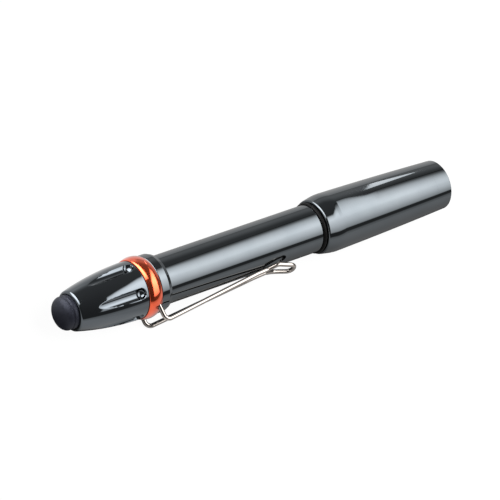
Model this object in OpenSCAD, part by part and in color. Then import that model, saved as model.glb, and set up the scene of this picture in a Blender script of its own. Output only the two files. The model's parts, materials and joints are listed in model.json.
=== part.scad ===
// Ultraviolet penlight for two AAA cells, lying on a table.
// The pen's axis is X, the light leaves towards +X, and the origin is the centre of the front rim.
// Profiles are drawn as [radius, place along X] and turned about the pen's axis.

/* [Cells] */
// Diameter of one AAA cell
cell_d = 10.5; // [10:0.1:11]
// Length of one cell with its nub
cell_len = 44.5; // [43:0.1:46]
// Diameter of the nub on the cell's positive end
nub_d = 3.8; // [3:0.1:5]
// Height of the nub
nub_h = 1; // [0.6:0.1:1.5]
// Clearance between a cell and the bore, on the radius
cell_clear = 0.15; // [0.1:0.05:0.4]

/* [Barrel] */
// Wall of the grip tube
grip_wall = 1.6; // [1:0.1:2.5]
// Wall of the threaded necks at both ends of the barrel
neck_wall = 0.75; // [0.6:0.05:1]
// Length of the front neck, from the shoulder into the head
front_neck_len = 13.4; // [8:0.2:18]
// How far the rear neck reaches past the rear cell
rear_neck_past = 3.85; // [2.5:0.05:6]
// Length of thread between rear neck and tail cap
cap_thread_len = 6; // [4:0.5:8]
// Step from the grip tube up to the collar
collar_step = 1.35; // [0.8:0.05:2]
// Length of the collar
collar_len = 3.6; // [2:0.05:5]
// Length of the bevel on the collar's front edge
collar_bevel_len = 1.1; // [0.4:0.05:1.4]
// Depth of that bevel
collar_bevel = 0.42; // [0.1:0.02:0.8]
// Small bevel on the other sharp edges of barrel and cap
edge_bevel = 0.2; // [0.1:0.05:0.4]

/* [Head] */
// Length of the head with its bezel
head_len = 46.6; // [44:0.1:56]
// Visible gap between barrel and head, which holds the seal
seal_gap = 1.4; // [1.2:0.1:2]
// Step from the grip tube up to the head's lip
lip_step = 0.9; // [0.4:0.05:1.4]
// Rounding of the head's lip
lip_round = 0.5; // [0.2:0.05:0.8]
// Step from the grip tube up to the crease, the widest place of the head
crease_step = 1.66; // [1.4:0.02:2.2]
// Distance from the lip to the crease
crease_back = 4.2; // [2.5:0.1:7]
// Radius that rounds the crease
crease_round = 16; // [4:1:24]
// How far the taper swells above a straight cone
head_swell = 0.13; // [0.05:0.01:0.4]
// Length of the screwed bezel
bezel_len = 5.3; // [4.6:0.1:8]
// Wall of the bezel over the head's front thread
bezel_wall = 0.45; // [0.4:0.05:0.9]
// Wall of the head's front thread
spigot_wall = 0.8; // [0.6:0.05:1]
// Bevel on the bezel's front edge
front_bevel = 0.25; // [0.1:0.05:0.4]
// Ledge on which the lamp stack seats
lamp_ledge = 0.6; // [0.4:0.05:0.8]

/* [Lamp] */
// Thickness of the bezel's inward flange
flange_t = 0.9; // [0.6:0.1:1.4]
// Diameter of the window that the flange leaves open
window_d = 10.8; // [9.6:0.1:11.2]
// Bevel round the window
window_bevel = 0.4; // [0.2:0.05:0.6]
// Thickness of the lens
lens_t = 1.2; // [0.8:0.1:1.6]
// Section of the seal in front of the lens
lens_seal_d = 0.8; // [0.6:0.05:1]
// Length of the reflector
reflector_len = 9.5; // [8:0.1:12]
// Wall of the reflector
reflector_wall = 0.6; // [0.5:0.05:1]
// Diameter of the reflector's rear hole
reflector_hole_d = 4; // [3.4:0.1:4.6]
// Thickness of the ring that centres the emitter
gasket_t = 0.8; // [0.6:0.1:1.2]
// Side of the emitter's square base
emitter_w = 3.45; // [2.8:0.05:3.6]
// Thickness of the emitter's base
emitter_t = 0.7; // [0.4:0.05:0.8]
// Diameter of the emitter's dome
emitter_dome_d = 2.6; // [2:0.1:3]
// Thickness of the emitter's board
led_board_t = 1; // [0.8:0.1:1.6]
// Diameter of the emitter's board
led_board_d = 10; // [9:0.1:11]
// Length of the heat sink
pill_len = 7.5; // [6:0.1:10]
// Thickness of the heat sink's front plate
pill_plate_t = 2.4; // [1.5:0.1:3]
// Wall of the heat sink's skirt
pill_wall = 0.7; // [0.5:0.05:0.9]
// Thickness of the driver board
driver_t = 1.2; // [0.8:0.1:1.6]
// How far the driver board sits inside the skirt
driver_in = 0.2; // [0.1:0.05:0.6]
// Diameter of the contact that meets the front cell
contact_d = 3.6; // [2.5:0.1:5]
// How far that contact stands out behind the heat sink
contact_out = 1.25; // [0.8:0.05:2.5]
// Diameter of the two leads from driver board to emitter board
lead_d = 0.9; // [0.6:0.05:1.2]
// Distance of each lead from the pen's axis
lead_r = 3.6; // [3.2:0.1:4]

/* [Clip ring] */
// Length of the ring that carries the clip
ring_len = 4.25; // [3.4:0.05:6]
// How far the ring stands proud of the collar
ring_proud = 0.6; // [0.3:0.05:1]
// Crown of the ring, from its edges to its middle
ring_crown = 0.5; // [0.2:0.05:0.8]

/* [Clip] */
// Diameter of the clip's wire
wire_d = 1.3; // [1:0.05:1.5]
// Distance between the two prongs
prong_gap = 10.6; // [8.6:0.1:10.8]
// Distance from the ring's front face to the root of a prong
prong_back = 1.15; // [1.1:0.05:1.6]
// How far a prong leans forward from its root to its bend
prong_lean = 0.65; // [0.4:0.05:0.8]
// Depth of a prong in the ring
prong_depth = 1.8; // [1.4:0.1:2]
// Height of the legs above the pen's axis where they leave the prongs
clip_rise = 11.05; // [10.4:0.05:12.5]
// Bend radius at the prongs
prong_bend = 1.7; // [1.2:0.1:2.2]
// Distance from the prongs to where the legs meet
leg_len = 35.2; // [30:0.2:40]
// Height of the wire above its resting place where the legs meet
meet_lift = 0.2; // [0.1:0.05:0.8]
// Length of the stretch in which the legs run side by side
touch_len = 3.5; // [2:0.1:6]
// Gap between the legs there
touch_gap = 0.45; // [0.42:0.01:0.8]
// Length of the eye at the sprung end
eye_len = 8.6; // [8:0.1:12]
// Distance along the eye to its widest place
eye_side = 3.3; // [3:0.1:4]
// Width of the eye there, between wire centres
eye_w = 4.2; // [4:0.1:6]
// Width of the eye at its tip, between wire centres
eye_tip_w = 3.5; // [3.2:0.1:4]
// How far the eye curls up from the barrel between its widest place and its tip
eye_lift = 1.85; // [0.6:0.05:2.4]
// Sideways set of the eye round the barrel, in degrees
eye_swing = 19; // [0:1:24]
// Gap between the clip and the grip tube where the clip rests
clip_gap = 0.2; // [0.05:0.05:0.3]

/* [Tail cap] */
// Step from the collar down to the cap
cap_step = 0.1; // [0:0.05:0.3]
// Wall of the cap's rim round the button
rim_wall = 0.74; // [0.5:0.02:1]
// Thickness of the ledge that keeps the button in
rim_t = 1.5; // [1:0.1:2.2]
// Rounding of the rim
rim_round = 0.6; // [0.3:0.05:0.7]
// Section of the seal between cap and ring
cap_seal_d = 0.8; // [0.6:0.05:1]
// Number of flutes
flute_count = 6; // [4:1:8]
// Length of a flute, from its point to its dimple
flute_len = 13; // [8:0.2:14]
// Distance from the cap's front edge to the middle of a dimple
dimple_back = 2.4; // [2.3:0.1:4]
// Radius of the flute's cutter
flute_cut_r = 1.85; // [1.6:0.05:3]
// Depth of a flute at its dimple
flute_depth = 1.1; // [0.4:0.02:1.2]
// Diameter of a dimple
dimple_d = 3.3; // [2.4:0.1:3.5]
// Wall left under a dimple
dimple_wall = 0.55; // [0.4:0.05:0.9]
// Turn of the flutes from the clip, in degrees
flute_turn = -15; // [-30:0.5:30]

/* [Button] */
// Diameter of the button
button_d = 9.6; // [8:0.1:10.4]
// How far the button stands out behind the rim
button_out = 4.4; // [3.6:0.1:6]
// Radius of the button's crown
crown_r = 7.4; // [6.5:0.1:10]
// Rounding between the crown and the side of the button
button_round = 2.2; // [1.6:0.1:2.6]
// Gap between button and rim
button_gap = 0.1; // [0.06:0.01:0.3]
// Width of the flange that keeps the button in
button_flange = 0.55; // [0.4:0.05:0.8]
// Thickness of that flange
button_flange_t = 1.25; // [0.8:0.05:2]
// Travel of the button
button_travel = 1.8; // [1:0.1:2.4]

/* [Switch] */
// Thickness of the switch's cover
cover_t = 0.9; // [0.7:0.1:1.4]
// Room inside the switch, from its cover to its floor
switch_room = 5.8; // [5:0.1:8]
// Thickness of the switch's floor
floor_t = 1.2; // [0.8:0.1:2]
// Wall of the switch's housing
switch_wall = 0.9; // [0.7:0.05:1.1]
// Diameter of the plunger's stem
stem_d = 4; // [3:0.1:5]
// Thickness of the plunger's flange
plunger_flange_t = 1; // [0.7:0.1:1.2]
// Diameter of the plunger's nose
nose_d = 2.4; // [1.8:0.1:3]
// Thickness of the sheet-brass contacts
brass_t = 0.35; // [0.25:0.05:0.5]
// Diameter of the disc that bridges the contacts
bridge_d = 6.4; // [5.6:0.1:6.6]
// Diameter of the centre terminal's heads
terminal_d = 3; // [2.4:0.1:3.4]
// Diameter of the terminal's shank
shank_d = 1.6; // [1.2:0.1:2]
// Width of the ring contact
ring_contact_w = 1.9; // [1.2:0.1:2]
// Number of legs of the ring contact
leg_count = 3; // [2:1:4]
// Diameter of one leg
leg_d = 0.7; // [0.5:0.05:0.8]
// Thickness of the ring that holds the switch in the cap
retainer_t = 1.45; // [1:0.05:2.5]
// Opening of that ring
retainer_hole_d = 7.2; // [6.4:0.1:7.4]

/* [Springs] */
// Wire of the tail spring
tail_wire_d = 0.5; // [0.4:0.05:0.6]
// Turns of the tail spring
tail_turns = 4; // [3:1:5]
// Diameter of the tail spring's small end, between wire centres
tail_small_d = 3.2; // [2.6:0.1:4]
// Diameter of the tail spring's wide end, between wire centres
tail_wide_d = 6.6; // [5:0.1:7]
// Wire of the switch's spring
switch_wire_d = 0.4; // [0.3:0.05:0.5]
// Turns of the switch's spring
switch_turns = 4; // [3:1:5]

/* [Clearances] */
// Fit of turned pieces in each other, on the radius
slip = 0.05; // [0.03:0.01:0.1]
// Gap between flat faces that meet
face_gap = 0.05; // [0.02:0.01:0.1]
// Clearance of a prong in its hole, on the radius
prong_clear = 0.14; // [0.12:0.01:0.2]
// Spare room at the ends of strokes and bores
end_room = 0.3; // [0.2:0.05:0.6]

/* [Hidden] */
$fn = 96;
// Sides of the wire of the clip and of the springs
clip_sides = 16;
spring_sides = 6;
// Rings of a spring's tube in one turn, and steps of a bend in the clip
turn_rings = 12;
bend_steps = 8;
// Segments of a full circle on the cap's wide arc, and steps of the head's taper, its crease and the bowl
arc_fn = 720;
taper_steps = 12;
crease_steps = 6;
bowl_steps = 14;

// Radii from the cells outwards
bore_r = cell_d / 2 + cell_clear;
grip_r = bore_r + grip_wall;
neck_r = bore_r + neck_wall;
collar_r = grip_r + collar_step;
ring_r = collar_r + ring_proud;
ring_edge_r = ring_r - ring_crown;
cap_r = collar_r - cap_step;
lip_r = grip_r + lip_step;
crease_r = grip_r + crease_step;
lamp_r = bore_r + lamp_ledge;
spigot_r = lamp_r + spigot_wall;
bezel_bore_r = spigot_r + slip;
front_r = bezel_bore_r + bezel_wall;
wire_r = wire_d / 2;

// Radii of the tail, from the button outwards
button_r = button_d / 2;
rim_hole_r = button_r + button_gap;
rim_r = rim_hole_r + rim_wall;
flange_r = button_r + button_flange;
chamber_r = flange_r + button_gap;
switch_r = chamber_r - slip;
room_r = switch_r - switch_wall;
spring_r = room_r - switch_wire_d / 2 - slip;

// Places along X, from the front rim back through the lamp to the cells
x_seam = -bezel_len;
x_seal = -flange_t;
x_lens = x_seal - lens_seal_d - 2 * face_gap;
x_spigot = x_lens - lens_t - face_gap;
x_gasket = x_spigot - reflector_len;
x_led_board = x_gasket - gasket_t;
x_pill = x_led_board - led_board_t;
x_ledge = x_pill - pill_len;
x_contact = x_ledge - contact_out;
x_front_cell = x_contact - face_gap;
x_rear_cell = x_front_cell - cell_len - face_gap;
x_cells_end = x_rear_cell - cell_len;

// Places along X of the head and the barrel
x_lip = -head_len;
x_crease = x_lip + crease_back;
x_grip = x_lip - seal_gap;
x_front_neck = x_grip + front_neck_len;
x_rear_neck = x_cells_end - rear_neck_past;
x_cap = x_rear_neck + cap_thread_len;
x_ring = x_cap + face_gap + ring_len;
x_collar = x_ring + face_gap;
x_collar_front = x_collar + collar_len;

// Places along X of the tail, from the rear neck back to the button
x_chamber = x_rear_neck - end_room;
x_switch = x_chamber - end_room - retainer_t;
x_floor = x_switch - floor_t;
x_cover = x_floor - switch_room;
x_cover_back = x_cover - cover_t;
x_button_front = x_cover_back - end_room - button_travel;
x_flange = x_button_front - button_flange_t;
x_ledge_tail = x_flange - face_gap;
x_rim = x_ledge_tail - rim_t;
x_tip = x_rim - button_out;

// Places along X inside the switch
x_brass = x_floor - brass_t;
x_bridge = x_brass - face_gap - button_travel - brass_t;
x_plunger_flange = x_cover + face_gap;
x_nose = x_plunger_flange + plunger_flange_t;

// The wide curves: the head's swelling taper, the cap's ogive and the ring's crown
shoulder_turn = atan2(crease_r - lip_r, crease_back);
taper_turn = atan2(front_r - crease_r + 4 * head_swell, -x_crease);
crease_half = crease_round * tan((shoulder_turn - taper_turn) / 2);
function taper_at(f) = crease_r + (front_r - crease_r) * f + 4 * head_swell * f * (1 - f);
cap_len = x_cap - x_rim;
ogive_drop = cap_r - rim_r;
ogive_r = (cap_len * cap_len + ogive_drop * ogive_drop) / (2 * ogive_drop);
crown_arc_r = (ring_len * ring_len / 4 + ring_crown * ring_crown) / (2 * ring_crown);
function ogive_at(x) = cap_r - ogive_r + sqrt(ogive_r * ogive_r - (x_cap - x) * (x_cap - x));

// Angles round the pen, from straight up towards -Y: the pen lies on its ring and on the clip's lower bend
bend_h = clip_rise - prong_bend * (1 - sqrt(0.5));
bend_reach = norm([bend_h, prong_gap / 2]);
clip_turn = 180 - atan2(prong_gap / 2, bend_h) - acos((ring_r - wire_r) / bend_reach);
eye_turn = clip_turn - eye_swing;

// Places of the clip
x_prong = x_ring - prong_back;
x_meet = x_prong + leg_len;
x_touch = x_meet + touch_len;
x_eye = x_touch + eye_len;
rest_h = grip_r + wire_r + clip_gap;
prong_base_h = sqrt(ring_edge_r * ring_edge_r - prong_gap * prong_gap / 4) - prong_depth;
lean_turn = atan2(prong_lean, clip_rise - prong_base_h);
touch_half = wire_r + touch_gap / 2;
eye_half = eye_w / 2;
tip_half = eye_tip_w / 2;
// The corners of the eye's tip nearly meet in a round end
eye_bend = 0.96 * tip_half;
meet_bend = 2.4;
touch_bend = 1.8;
side_bend = 2.4;

// Turns a profile about the pen's axis
module turned() rotate([0, 90, 0]) rotate_extrude() children();

// A straight band of a profile
module band(r0, r1, x0, x1) translate([r0, x0]) square([r1 - r0, x1 - x0]);

// A round spot of a profile
module spot(r, x, radius) translate([r, x]) circle(radius);

// Copies round the pen's axis, the first at the given turn from straight up
module round_axis(count, first) for (i = [0:count - 1]) rotate([first + i * 360 / count, 0, 0]) children();

// What a bevel takes off an outer edge at radius r and place x, facing forward, or off an inner edge
module outer_bevel(r, x, b) polygon([[r + b, x - 2 * b], [r - 2 * b, x + b], [r + b, x + b]]);
module inner_bevel(r, x, b) polygon([[r - b, x - 2 * b], [r + 2 * b, x + b], [r - b, x + b]]);

// A ring of round section
module seal_ring(r, x, section_d) turned() spot(r, x, section_d / 2);

function unit(v) = v / norm(v);

// A place by its distance along X, height above the axis and sideways shift, at a turn round the pen
function place(x, turn, h, side) =
    [x, -h * sin(turn) - side * cos(turn), h * cos(turn) - side * sin(turn)];

// Points of a bend of radius r at the corner b, coming from a and going to c
function bend(a, b, c, r) =
    let (back = unit(a - b), on = unit(c - b), half = acos(back * on) / 2,
        middle = b + unit(back + on) * r / sin(half), first = unit(b + back * r / tan(half) - middle))
    [for (i = [0:bend_steps]) let (t = (180 - 2 * half) * i / bend_steps)
        middle + r * (cos(t) * first - sin(t) * back)];

// A route with its inner corners rounded
function rounded(corners, radii) = [
    corners[0],
    for (i = [1:len(corners) - 2]) each bend(corners[i - 1], corners[i], corners[i + 1], radii[i - 1]),
    corners[len(corners) - 1]
];

function heading(p, i) = unit(p[min(i + 1, len(p) - 1)] - p[max(i - 1, 0)]);

// A normal carried along the route without twist
function carried(p) = [
    for (i = 0, n = unit(cross(heading(p, 0), [0.4, 0.3, 0.9])); i < len(p);
        i = i + 1, t = heading(p, min(i, len(p) - 1)), n = unit(n - t * (n * t))) n
];

// A wire along a route
module wire(p, r, sides) {
    normals = carried(p);
    points = [
        for (i = [0:len(p) - 1]) let (t = heading(p, i), n = normals[i], b = cross(t, n))
            for (k = [0:sides - 1]) p[i] + r * (cos(360 * k / sides) * n + sin(360 * k / sides) * b)
    ];
    last = (len(p) - 1) * sides;
    sides_faces = [
        for (i = [0:len(p) - 2]) for (k = [0:sides - 1])
            let (a = i * sides + k, b = i * sides + (k + 1) % sides)
            each [[a, a + sides, b], [b, a + sides, b + sides]]
    ];
    ends = [[for (k = [0:sides - 1]) k], [for (k = [sides - 1:-1:0]) last + k]];
    polyhedron(points, concat(sides_faces, ends), convexity = 8);
}

// A coil about the pen's axis, which may widen along its way
function coil(x0, x1, r0, r1, turns) = [
    for (i = [0:turns * turn_rings]) let (f = i / (turns * turn_rings), r = r0 + (r1 - r0) * f)
        [x0 + (x1 - x0) * f, r * cos(360 * turns * f), r * sin(360 * turns * f)]
];

// The least gap between the turns of a coil
function coil_gap(p, d) = min([
    for (i = [0:len(p) - 1]) for (j = [i + turn_rings / 2:1:len(p) - 1]) norm(p[i] - p[j]) - d
]);

// The button's outline: a shallow crown rounded into a straight side
module button_outline() {
    crown_x = x_tip + crown_r;
    round_r = button_r - button_round;
    round_x = crown_x - sqrt(pow(crown_r - button_round, 2) - round_r * round_r);
    reach = crown_r / (crown_r - button_round);
    intersection() {
        spot(0, crown_x, crown_r);
        polygon([[0, crown_x], [0, x_tip - 1],
            [round_r * reach, x_tip - 1], [round_r * reach, crown_x + (round_x - crown_x) * reach]]);
    }
    spot(round_r, round_x, button_round);
    band(0, button_r, round_x, x_button_front);
}

module push_button() color("#202126") turned() intersection() {
    union() {
        button_outline();
        band(0, flange_r, x_flange, x_button_front);
    }
    band(0, flange_r, x_tip, x_button_front);
}

module switch_plunger() color("#d9d4c4") turned() {
    band(0, stem_d / 2, x_button_front + face_gap, x_nose);
    band(0, room_r - slip, x_plunger_flange, x_nose);
    band(0, nose_d / 2, x_nose, x_bridge);
}

module contact_bridge() color("#c9a552") turned() band(0, bridge_d / 2, x_bridge, x_bridge + brass_t);

module switch_spring() color("#b9bcc0") {
    inset = switch_wire_d / 2 + face_gap;
    route = coil(x_nose + inset, x_brass - inset, spring_r, spring_r, switch_turns);
    echo(switch_spring_gap = coil_gap(route, switch_wire_d));
    wire(route, switch_wire_d / 2, spring_sides);
}

module switch_cover() color("#1d1e20") turned() band(stem_d / 2 + slip, switch_r, x_cover_back, x_cover);

module switch_housing() color("#1d1e20") difference() {
    turned() difference() {
        band(0, switch_r, x_cover, x_switch);
        band(0, room_r, x_cover, x_floor);
        band(0, shank_d / 2 + slip, x_floor, x_switch);
    }
    round_axis(leg_count, 0) contact_leg(leg_d + 2 * slip, brass_t + floor_t + face_gap);
}

// A leg of the ring contact, or the hole for it
module contact_leg(d, length) translate([x_brass, 0, room_r - slip - leg_d]) rotate([0, 90, 0])
    cylinder(d = d, h = length);

module ring_contact() color("#c9a552") {
    turned() band(room_r - slip - ring_contact_w, room_r - slip, x_brass, x_floor);
    round_axis(leg_count, 0) contact_leg(leg_d, brass_t + floor_t);
}

module centre_terminal() color("#c9a552") turned() {
    band(0, terminal_d / 2, x_brass, x_floor);
    band(0, shank_d / 2, x_floor, x_switch);
    band(0, tail_small_d / 2 + tail_wire_d / 2, x_switch, x_switch + brass_t);
}

module switch_retainer() color("#c9a552") turned()
    band(retainer_hole_d / 2, switch_r, x_switch, x_switch + retainer_t);

module tail_spring() color("#d6c9a0") {
    inset = tail_wire_d / 2 + face_gap;
    route = coil(x_switch + brass_t + inset, x_cells_end - inset, tail_small_d / 2, tail_wide_d / 2, tail_turns);
    echo(tail_spring_gap = coil_gap(route, tail_wire_d));
    wire(route, tail_wire_d / 2, spring_sides);
}

// The cap's outline: an ogive that is rounded over at the rim
module cap_outline() {
    round_x = x_rim + rim_round;
    round_r = cap_r - ogive_r + sqrt(pow(ogive_r - rim_round, 2) - pow(x_cap - round_x, 2));
    tangent_x = x_cap - (x_cap - round_x) * ogive_r / (ogive_r - rim_round);
    intersection() {
        translate([cap_r - ogive_r, x_cap]) circle(ogive_r, $fn = arc_fn);
        band(0, cap_r, tangent_x, x_cap);
    }
    spot(round_r, round_x, rim_round);
    band(0, round_r, x_rim, x_cap);
}

// One flute: a long scoop from its point to a round dimple
module flute() {
    dimple_x = x_cap - dimple_back;
    point_x = dimple_x - flute_len;
    point_h = ogive_at(point_x) + flute_cut_r;
    end_h = ogive_at(dimple_x) - flute_depth + flute_cut_r;
    slope = atan2(end_h - point_h, flute_len);
    dimple_h = neck_r + slip + dimple_wall + dimple_d / 2;
    translate([point_x, 0, point_h]) rotate([0, 90 - slope, 0]) translate([0, 0, -flute_cut_r])
        cylinder(r = flute_cut_r, h = flute_cut_r + flute_len / cos(slope));
    translate([dimple_x, 0, dimple_h]) {
        sphere(d = dimple_d);
        cylinder(d = dimple_d, h = cap_r);
    }
}

module tail_cap() color("#24262b") difference() {
    turned() difference() {
        cap_outline();
        band(0, rim_hole_r, x_rim, x_ledge_tail);
        band(0, chamber_r, x_ledge_tail, x_chamber);
        band(0, neck_r + slip, x_chamber, x_cap);
        band(0, neck_r + 2 * slip + cap_seal_d, x_cap - cap_seal_d - face_gap, x_cap);
        outer_bevel(cap_r, x_cap, edge_bevel);
    }
    round_axis(flute_count, clip_turn + flute_turn) flute();
}

module cap_seal() color("#161617") seal_ring(neck_r + slip + cap_seal_d / 2, x_cap - cap_seal_d / 2, cap_seal_d);

module clip_ring() color("#d6502a") difference() {
    turned() difference() {
        intersection() {
            spot(ring_r - crown_arc_r, x_ring - ring_len / 2, crown_arc_r);
            band(0, ring_r, x_ring - ring_len, x_ring);
        }
        band(0, neck_r + slip, x_ring - ring_len, x_ring);
    }
    for (side = [-1, 1]) rotate([clip_turn, 0, 0])
        translate([x_prong, -side * prong_gap / 2, prong_base_h]) rotate([0, lean_turn, 0])
            translate([0, 0, -face_gap]) cylinder(r = wire_r + prong_clear, h = ring_r);
}

// Corners of one half of the clip, from the prong's end to the side of the eye's tip
function clip_corners(side) = [
    place(x_prong, clip_turn, prong_base_h, side * prong_gap / 2),
    place(x_prong + prong_lean, clip_turn, clip_rise, side * prong_gap / 2),
    place(x_meet, eye_turn, rest_h + meet_lift, side * touch_half),
    place(x_touch, eye_turn, rest_h, side * touch_half),
    place(x_touch + eye_side, eye_turn, rest_h, side * eye_half),
    place(x_eye, eye_turn, rest_h + eye_lift, side * tip_half)
];

module pocket_clip() color("#c4c6c8") {
    upper = clip_corners(-1);
    lower = clip_corners(1);
    half_bends = [prong_bend, meet_bend, touch_bend, side_bend, eye_bend];
    route = rounded(concat(upper, [for (i = [len(lower) - 1:-1:0]) lower[i]]),
        concat(half_bends, [for (i = [len(half_bends) - 1:-1:0]) half_bends[i]]));
    wire(route, wire_r, clip_sides);
}

module barrel() color("#2b2d32") turned() difference() {
    union() {
        polygon([[0, x_rear_neck], [neck_r - edge_bevel, x_rear_neck], [neck_r, x_rear_neck + edge_bevel],
            [neck_r, x_front_neck - edge_bevel], [neck_r - edge_bevel, x_front_neck], [0, x_front_neck]]);
        polygon([[0, x_collar], [collar_r - edge_bevel, x_collar], [collar_r, x_collar + edge_bevel],
            [collar_r, x_collar_front - collar_bevel_len], [collar_r - collar_bevel, x_collar_front],
            [0, x_collar_front]]);
        polygon([[0, x_collar_front], [grip_r, x_collar_front], [grip_r, x_grip - edge_bevel],
            [grip_r - edge_bevel, x_grip], [0, x_grip]]);
    }
    band(0, bore_r, x_rear_neck, x_front_neck);
}

// A cell with its nub towards the light
module cell(x) turned() {
    band(0, cell_d / 2, x - cell_len, x - nub_h);
    band(0, nub_d / 2, x - nub_h, x);
}

module rear_cell() color("#8f979c") cell(x_rear_cell);

module front_cell() color("#8f979c") cell(x_front_cell);

module head_seal() color("#161617") {
    section = seal_gap - 2 * face_gap;
    seal_ring(neck_r + slip + section / 2, x_grip + seal_gap / 2, section);
}

// The rounded crease, from the shoulder's straight line into the taper
function crease_arc() =
    let (middle_r = crease_r - crease_half * sin(shoulder_turn) - crease_round * cos(shoulder_turn),
        middle_x = x_crease - crease_half * cos(shoulder_turn) + crease_round * sin(shoulder_turn))
    [for (i = [0:crease_steps]) let (a = shoulder_turn + (taper_turn - shoulder_turn) * i / crease_steps)
        [middle_r + crease_round * cos(a), middle_x - crease_round * sin(a)]];

// The head's outline with its bezel: rounded lip, shoulder, crease and swelling taper
module head_outline() {
    round_x = x_lip + lip_round;
    round_r = lip_r + lip_round * tan(shoulder_turn) - lip_round / cos(shoulder_turn);
    tangent_x = round_x - lip_round * sin(shoulder_turn);
    first_f = crease_half / -x_crease;
    band(0, round_r, x_lip, x_crease);
    spot(round_r, round_x, lip_round);
    polygon([[0, tangent_x], [round_r + lip_round * cos(shoulder_turn), tangent_x], each crease_arc(),
        for (i = [1:taper_steps]) let (f = first_f + (1 - first_f) * i / taper_steps)
            [taper_at(f), x_crease * (1 - f)],
        [0, 0]]);
}

module head_sleeve() color("#2b2d32") turned() {
    difference() {
        intersection() {
            head_outline();
            band(0, crease_r + head_swell, x_lip, x_seam);
        }
        band(0, neck_r + slip, x_lip, x_front_neck + end_room);
        band(0, bore_r, x_front_neck + end_room, x_ledge);
        band(0, lamp_r, x_ledge, x_seam);
    }
    band(lamp_r, spigot_r, x_seam, x_spigot);
}

module driver_contact() color("#c9a552") turned() band(0, contact_d / 2, x_contact, x_ledge + driver_in);

module driver_board() color("#1f5a3a") difference() {
    turned() band(0, lamp_r - 2 * slip - pill_wall, x_ledge + driver_in, x_ledge + driver_in + driver_t);
    lead_holes();
}

// The two leads, or the holes for them
module leads(d, x0, x1) for (side = [-1, 1])
    translate([x0, side * lead_r, 0]) rotate([0, 90, 0]) cylinder(d = d, h = x1 - x0);

module lead_holes() leads(lead_d + 2 * slip, x_ledge, x_led_board);

module lamp_leads() color("#b03a2e") leads(lead_d, x_ledge + driver_in, x_led_board);

module heat_sink() color("#c39a4d") difference() {
    turned() difference() {
        band(0, lamp_r - slip, x_ledge, x_pill);
        band(0, lamp_r - slip - pill_wall, x_ledge, x_pill - pill_plate_t);
    }
    lead_holes();
}

module led_board() color("#e4e6e2") difference() {
    turned() band(0, led_board_d / 2, x_pill, x_led_board);
    lead_holes();
}

module led_emitter() color("#e9dfae") {
    translate([x_led_board, -emitter_w / 2, -emitter_w / 2]) cube([emitter_t, emitter_w, emitter_w]);
    turned() intersection() {
        spot(0, x_led_board + emitter_t, emitter_dome_d / 2);
        band(0, emitter_dome_d / 2, x_led_board, x_gasket + emitter_dome_d);
    }
}

module centring_ring() color("#f2f2ee") difference() {
    turned() band(0, lead_r - lead_d / 2 - slip, x_led_board, x_gasket);
    translate([x_led_board, -emitter_w / 2 - slip, -emitter_w / 2 - slip])
        cube([gasket_t, emitter_w + 2 * slip, emitter_w + 2 * slip]);
}

// The bowl opens as a parabola from the rear hole to the rim
bowl_r0 = reflector_hole_d / 2;
bowl_r1 = lamp_r - slip - reflector_wall;
function bowl_at(f) = sqrt(bowl_r0 * bowl_r0 + (bowl_r1 * bowl_r1 - bowl_r0 * bowl_r0) * f);

module reflector() color("#dfe2e6") turned() difference() {
    polygon(concat([[0, x_gasket], [bowl_r0 + reflector_wall, x_gasket]],
        [for (i = [1:bowl_steps]) [bowl_at(i / bowl_steps) + reflector_wall,
            x_gasket + reflector_len * i / bowl_steps]], [[0, x_spigot]]));
    polygon(concat([[0, x_gasket]],
        [for (i = [0:bowl_steps]) [bowl_at(i / bowl_steps),
            x_gasket + reflector_len * i / bowl_steps]], [[0, x_spigot]]));
}

module lens() color("#cfd9e6") turned() band(0, spigot_r, x_lens - lens_t, x_lens);

module lens_seal() color("#161617")
    seal_ring(bezel_bore_r - slip - lens_seal_d / 2, x_lens + face_gap + lens_seal_d / 2, lens_seal_d);

module bezel() color("#2b2d32") turned() difference() {
    intersection() {
        head_outline();
        band(0, crease_r, x_seam + face_gap, 0);
    }
    band(0, window_d / 2, x_seal, 0);
    inner_bevel(window_d / 2, 0, window_bevel);
    outer_bevel(front_r, 0, front_bevel);
    band(0, bezel_bore_r, x_seam, x_seal);
}

push_button();
switch_plunger();
contact_bridge();
switch_spring();
switch_cover();
switch_housing();
ring_contact();
centre_terminal();
switch_retainer();
tail_spring();
tail_cap();
cap_seal();
clip_ring();
pocket_clip();
barrel();
rear_cell();
front_cell();
head_seal();
head_sleeve();
driver_contact();
driver_board();
heat_sink();
lamp_leads();
led_board();
led_emitter();
centring_ring();
reflector();
lens();
lens_seal();
bezel();
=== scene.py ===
import json
from math import acos, atan2, cos, degrees, pi, radians, sin, sqrt, tan

import bmesh
import bpy
from mathutils import Matrix, Vector


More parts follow.
